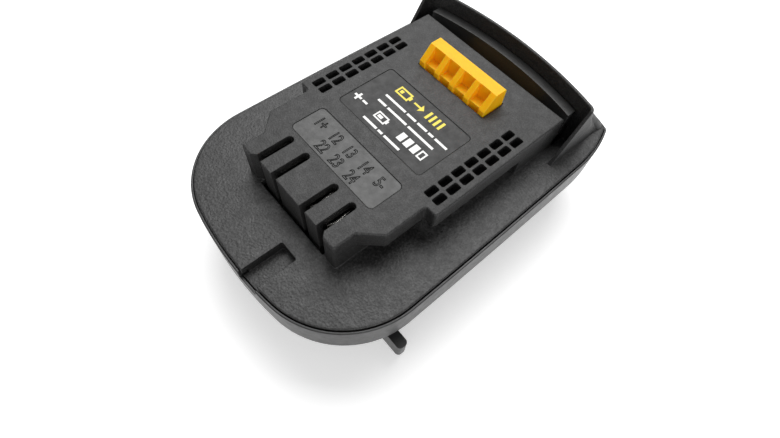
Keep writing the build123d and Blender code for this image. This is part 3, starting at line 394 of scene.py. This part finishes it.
MATERIALS = {
    "shell_black": upper_plastic("shell_black_grained", BLACK_PLASTIC),
    "tray_black": moulded_plastic(
        "tray_satin", TRAY_BLACK, roughness=0.38, grain=0.3 * MM, depth=0.012 * MM, speckle=0.12
    ),
    "latch_yellow": catch_plastic("catch_yellow_nylon", CATCH_YELLOW),
    "button_black": moulded_plastic(
        "button_black_satin", BUTTON_BLACK, roughness=0.42, grain=0.3 * MM, depth=0.02 * MM
    ),
    "spring_steel": metal("spring_wire", STEEL, roughness=0.32, brushed=0.2),
    "inlay_grey": moulded_plastic(
        "inlay_polished", INLAY_GREY, roughness=0.42, grain=0.5 * MM, depth=0.01 * MM, speckle=0.08
    ),
    "label_film": moulded_plastic(
        "label_film_face", LABEL_GREY, roughness=0.56, grain=0.4 * MM, depth=0.012 * MM, speckle=0.1
    ),
    "contact_metal": metal("contact_nickel", NICKEL, roughness=0.22, brushed=0.1),
    "block_black": moulded_plastic(
        "block_moulding", BLOCK_BLACK, roughness=0.4, grain=0.3 * MM, depth=0.02 * MM
    ),
    "board_green": board_laminate("board_mask", BOARD_GREEN),
    "chip_black": moulded_plastic(
        "chip_moulding", CHIP_BLACK, roughness=0.5, grain=0.12 * MM, depth=0.01 * MM
    ),
    "can_aluminium": metal("can_sleeve", ALUMINIUM, roughness=0.28, brushed=0.2),
    "wire_red": moulded_plastic(
        "wire_sleeve_red", WIRE_RED, roughness=0.38, grain=0.5 * MM, depth=0.01 * MM, speckle=0.08
    ),
    "wire_black": moulded_plastic(
        "wire_sleeve_black", WIRE_BLACK, roughness=0.38, grain=0.5 * MM, depth=0.01 * MM, speckle=0.1
    ),
    "screw_steel": metal("screw_zinc", STEEL, roughness=0.34, brushed=0.3),
}
WHITE_INK = printed("print_white", PRINT_WHITE)
YELLOW_INK = printed("print_yellow", PRINT_YELLOW)
# Dark outlines of the numbers: painted shade for the sides of raised strokes
SHADE_OUTLINE = painted_shade_outline("inlay_outline_painted_shade", BLACK_PLASTIC)


def dress_nodes():
    """Gives each node of the frame the material of its slot."""
    slots = {entry["node"]: entry["material_slot"] for entry in frame["record"]["subparts"]}
    for name, obj in frame["nodes"].items():
        for holder in obj.material_slots:
            holder.material = MATERIALS[slots[name]]


def bar(left, right, low, high):
    """A plain upright rectangle."""
    return [(left, low), (right, low), (right, high), (left, high)]


def frame_bars(left, right, low, high, stroke):
    """A hollow rectangle, made of four bars."""
    return [
        bar(left, right, low, low + stroke),
        bar(left, right, high - stroke, high),
        bar(left, left + stroke, low + stroke, high - stroke),
        bar(right - stroke, right, low + stroke, high - stroke),
    ]


def plus(middle_x, middle_y, reach, half):
    """A plus sign with arms of the given reach and half width."""
    return [
        bar(middle_x - reach, middle_x + reach, middle_y - half, middle_y + half),
        bar(middle_x - half, middle_x + half, middle_y + half, middle_y + reach),
        bar(middle_x - half, middle_x + half, middle_y - reach, middle_y - half),
    ]


def arrow(left, right, middle_y, half, head):
    """An arrow to the right: a shaft of the given half width and a pointed head."""
    neck = right - head
    return [
        bar(left, neck, middle_y - half, middle_y + half),
        [(neck, middle_y - head), (right, middle_y), (neck, middle_y + head)],
    ]


def printed_piece(name, outlines, middle, level, material):
    """Thin ink on the label; each outline is in millimetres from its middle, and makes a low solid."""
    mesh = bpy.data.meshes.new(name)
    shape = bmesh.new()
    for outline in outlines:
        places = [(middle.x + x * MM, middle.y + y * MM) for x, y in outline]
        low = [shape.verts.new((*place, level - INK_SINK)) for place in places]
        high = [shape.verts.new((*place, level + INK_HEIGHT)) for place in places]
        shape.faces.new(high)
        shape.faces.new(low[::-1])
        for index, corner in enumerate(low):
            after = (index + 1) % len(low)
            shape.faces.new((corner, low[after], high[after], high[index]))
    shape.to_mesh(mesh)
    shape.free()
    mesh.materials.append(material)
    piece = bpy.data.objects.new(name, mesh)
    bpy.context.scene.collection.objects.link(piece)
    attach(piece, "adapter_body")


def print_label():
    """Generic marks in place of words: a battery, an arrow and contacts, bars, signs and a gauge."""
    low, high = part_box("rating_label")
    middle = (low + high) / 2
    signs = frame_bars(-9.0, -4.2, 4.5, 7.4, 0.55)
    signs += [bar(-4.2, -3.6, 5.3, 6.6), bar(-8.0, -6.9, 5.4, 6.5)]
    signs += arrow(-2.4, 1.4, 5.95, 0.3, 1.4)
    signs += [bar(start, start + 0.8, 4.5, 7.4) for start in (2.9, 4.5, 6.1, 7.7)]
    printed_piece("label_signs", signs, middle, high.z, YELLOW_INK)
    first_row = ((-9.4, -1.4), (-0.7, 2.7), (3.4, 7.0), (7.6, 9.4), (10.1, 14.5))
    second_row = ((-9.4, -6.2), (-5.5, 2.0), (2.7, 12.2))
    last_row = ((-7.2, -1.9), (-1.3, 0.4), (1.1, 7.0))
    rules = []
    for row, row_y in ((first_row, 1.8), (second_row, -0.95), (last_row, -7.9)):
        for left, right in row:
            rules.append(bar(left, right, row_y - RULE_HALF, row_y + RULE_HALF))
    printed_piece("label_rules", rules, middle, high.z, WHITE_INK)
    bold = plus(-13.6, -4.5, 1.35, 0.34)
    bold.append(bar(-11.7, -9.9, -4.84, -4.16))
    bold += frame_bars(-6.0, -1.9, -5.8, -3.2, 0.45)
    bold += [bar(-1.9, -1.4, -5.1, -3.9), bar(-5.2, -3.6, -5.0, -4.0)]
    bold += [bar(start, start + 1.8, -5.9, -3.1) for start in (3.4, 5.9, 8.4)]
    bold += frame_bars(10.9, 12.9, -5.9, -3.1, 0.45)
    printed_piece("label_gauge", bold, middle, high.z, WHITE_INK)


def raise_numbers():
    """Plain numbers in two rows, whose outlines stand proud on the marking plate."""
    low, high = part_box("marking_plate")
    middle = (low + high) / 2
    upper_row = (("1+", -11.9), ("12", -5.9), ("13", -0.25), ("14", 5.9), ("5-", 11.8))
    lower_row = (("22", -5.8), ("23", -0.1), ("24", 5.9))
    scene = bpy.context.scene
    for side, row, row_y in (("upper", upper_row, UPPER_ROW_Y), ("lower", lower_row, LOWER_ROW_Y)):
        for number, (digits, place_x) in enumerate(row, 1):
            curve = bpy.data.curves.new("digits", "FONT")
            curve.body = digits
            curve.size = DIGIT_SIZE
            curve.align_x = "CENTER"
            curve.align_y = "CENTER"
            curve.fill_mode = "NONE"
            curve.bevel_depth = OUTLINE_RADIUS
            curve.bevel_resolution = 1
            pattern = bpy.data.objects.new("pattern", curve)
            pattern.scale.x = DIGIT_NARROWING
            pattern.location = (
                middle.x + place_x * MM,
                middle.y + row_y * MM,
                high.z - OUTLINE_SINK,
            )
            scene.collection.objects.link(pattern)
            bpy.context.view_layer.update()
            mesh = bpy.data.meshes.new_from_object(
                pattern.evaluated_get(bpy.context.evaluated_depsgraph_get())
            )
            mesh.transform(pattern.matrix_world)
            mesh.materials.clear()
            mesh.materials.append(SHADE_OUTLINE)
            bpy.data.objects.remove(pattern)
            piece = bpy.data.objects.new(f"raised_mark_{side}_{number}", mesh)
            scene.collection.objects.link(piece)
            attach(piece, "adapter_body")


def make_coils():
    """Coils in place of the catch's springs; each stands for its node, with the same mesh."""
    for name in ("latch_spring_left", "latch_spring_right"):
        mesh = frame["nodes"][name].data.copy()
        coil = bpy.data.objects.new(name.replace("latch_spring", "coil"), mesh)
        bpy.context.scene.collection.objects.link(coil)
        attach(coil, "adapter_body")
        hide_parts(name)
        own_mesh(coil)


def make_camera():
    """The photograph's camera."""
    data = bpy.data.cameras.new("camera")
    data.sensor_width = SENSOR_WIDTH
    data.lens = FOCAL_PIXELS / PHOTO_WIDTH * SENSOR_WIDTH
    data.clip_start = NEAREST
    data.clip_end = FARTHEST
    camera = bpy.data.objects.new("camera", data)
    turn = Matrix.Rotation(CAMERA_AZIMUTH, 4, "Z")
    turn @= Matrix.Rotation(math.pi / 2 - CAMERA_ELEVATION, 4, "X")
    turn @= Matrix.Rotation(CAMERA_ROLL, 4, "Z")
    camera.matrix_world = Matrix.Translation(CAMERA_PLACE) @ turn
    bpy.context.scene.collection.objects.link(camera)
    bpy.context.scene.camera = camera


def area_light(name, place, width, height, power):
    """A white rectangular lamp that faces the object."""
    data = bpy.data.lights.new(name, "AREA")
    data.shape = "RECTANGLE"
    data.size = width
    data.size_y = height
    data.energy = power
    lamp = bpy.data.objects.new(name, data)
    lamp.location = place
    aim = Vector(LIGHT_TARGET) - Vector(place)
    lamp.rotation_mode = "QUATERNION"
    lamp.rotation_quaternion = aim.to_track_quat("-Z", "Y")
    bpy.context.scene.collection.objects.link(lamp)


def pale_surface(name, strength):
    """White to the camera and to reflections, a plain pale surface to everything else."""
    material, tree = start_material(name)
    path = node(tree, "LightPath").outputs
    seen = maths(tree, "MAXIMUM", path["Is Camera Ray"], path["Is Glossy Ray"])
    seen = maths(tree, "MAXIMUM", seen, path["Is Transmission Ray"])
    matt = node(tree, "BsdfDiffuse", {"Color": FLOOR_WHITE})
    glow = node(tree, "Emission", {"Color": (1, 1, 1, 1), "Strength": strength})
    both = node(tree, "AddShader", {0: matt.outputs[0], 1: glow.outputs[0]})
    mixed = node(tree, "MixShader", {0: seen, 1: matt.outputs[0], 2: both.outputs[0]})
    node(tree, "OutputMaterial", {"Surface": mixed.outputs[0]})
    return material


def make_stage():
    """A pale floor at the object's feet."""
    mesh = bpy.data.meshes.new("floor")
    signs = ((-1, -1), (1, -1), (1, 1), (-1, 1))
    corners = [(x * FLOOR_HALF, y * FLOOR_HALF, 0) for x, y in signs]
    mesh.from_pydata(corners, [], [(0, 1, 2, 3)])
    mesh.materials.append(pale_surface("floor_pale", FLOOR_GLOW))
    floor = bpy.data.objects.new("floor", mesh)
    bpy.context.scene.collection.objects.link(floor)


def make_world():
    """A plain white world that fills the shadows."""
    world = bpy.data.worlds.new("studio")
    bpy.context.scene.world = world
    world.use_nodes = True
    tree = world.node_tree
    tree.nodes.clear()
    back = node(tree, "Background", {"Color": (1, 1, 1, 1), "Strength": WORLD_STRENGTH})
    node(tree, "OutputWorld", {"Surface": back.outputs[0]})


def make_lights():
    """One large lamp over the rear left, and a faint one low on the right."""
    area_light("key", (-0.34, 0.38, 0.82), width=0.8, height=0.7, power=10.1)
    area_light("side", (0.55, -0.22, 0.28), width=0.35, height=0.35, power=1.5)


dress_nodes()
print_label()
raise_numbers()
make_coils()
make_stage()
make_world()
make_lights()
make_camera()

bpy.context.scene.view_settings.view_transform = "Standard"
bpy.context.view_layer.update()
